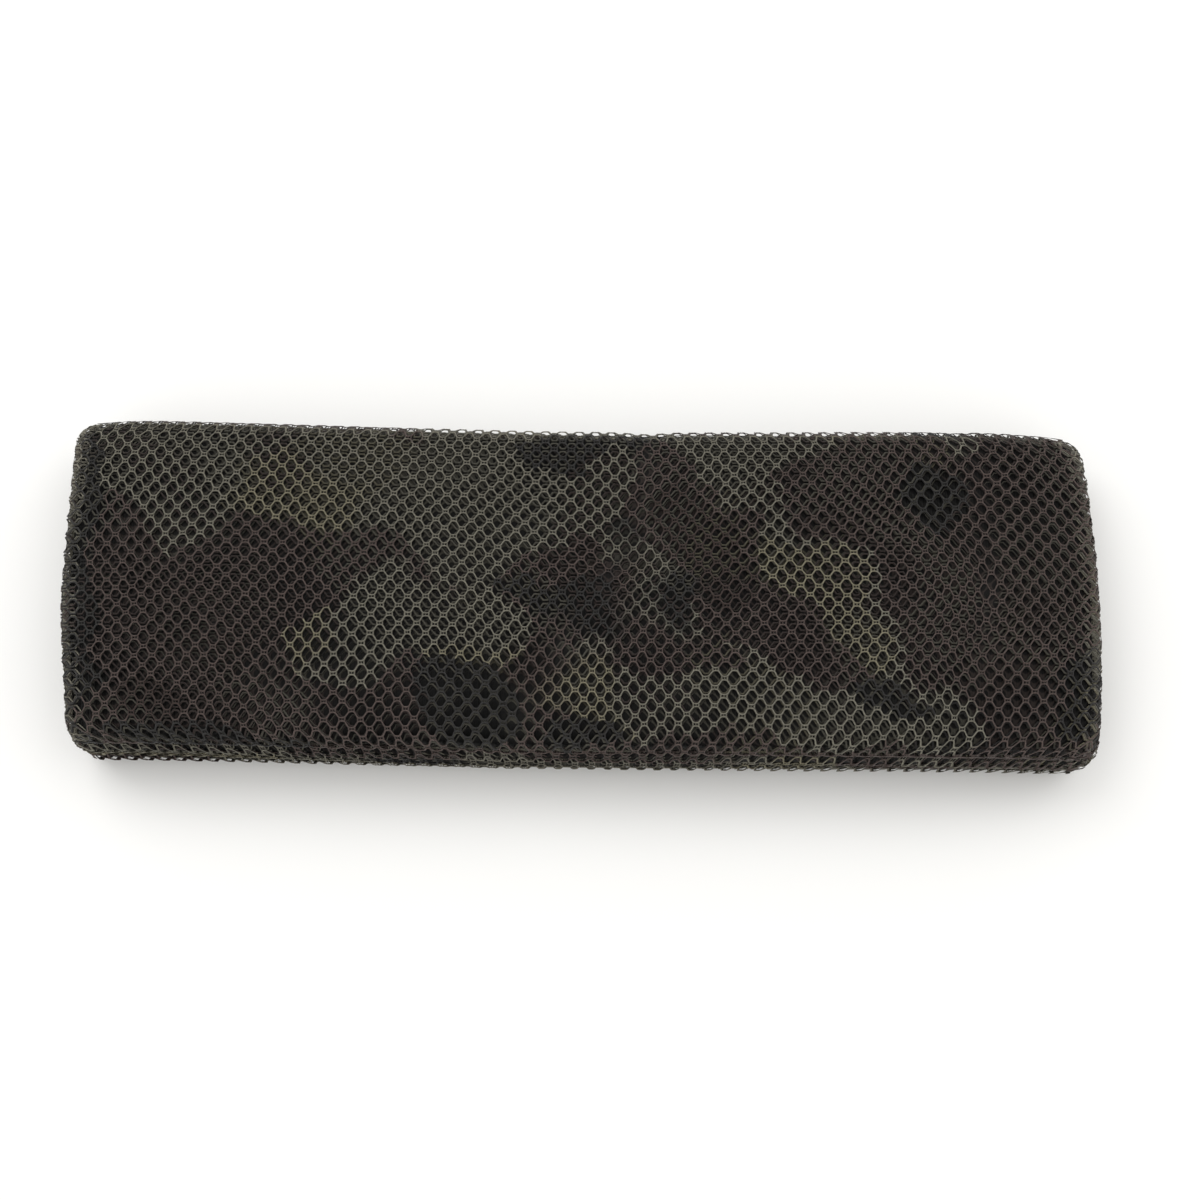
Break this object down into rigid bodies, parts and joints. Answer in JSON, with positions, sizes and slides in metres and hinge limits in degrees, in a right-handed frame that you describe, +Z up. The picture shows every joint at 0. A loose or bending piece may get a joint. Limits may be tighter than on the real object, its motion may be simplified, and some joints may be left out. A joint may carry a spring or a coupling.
{
  "type": "folded camouflage net",
  "caption": "Camouflage net of knitted polyester mesh, folded back and forth into a long flat pack.",
  "frame": {"origin": "middle of the pack's outline, on the face that it lies on", "axes": "+X along the pack, +Y from the front long side to the back one, +Z up"},
  "size_m": [0.4566, 0.1524, 0.0525],
  "materials": {
    "polyester_mesh": "matt knitted polyester mesh with a printed woodland pattern"
  },
  "bodies": {
    "root": {"net": "polyester_mesh"}
  },
  "joints": []
}
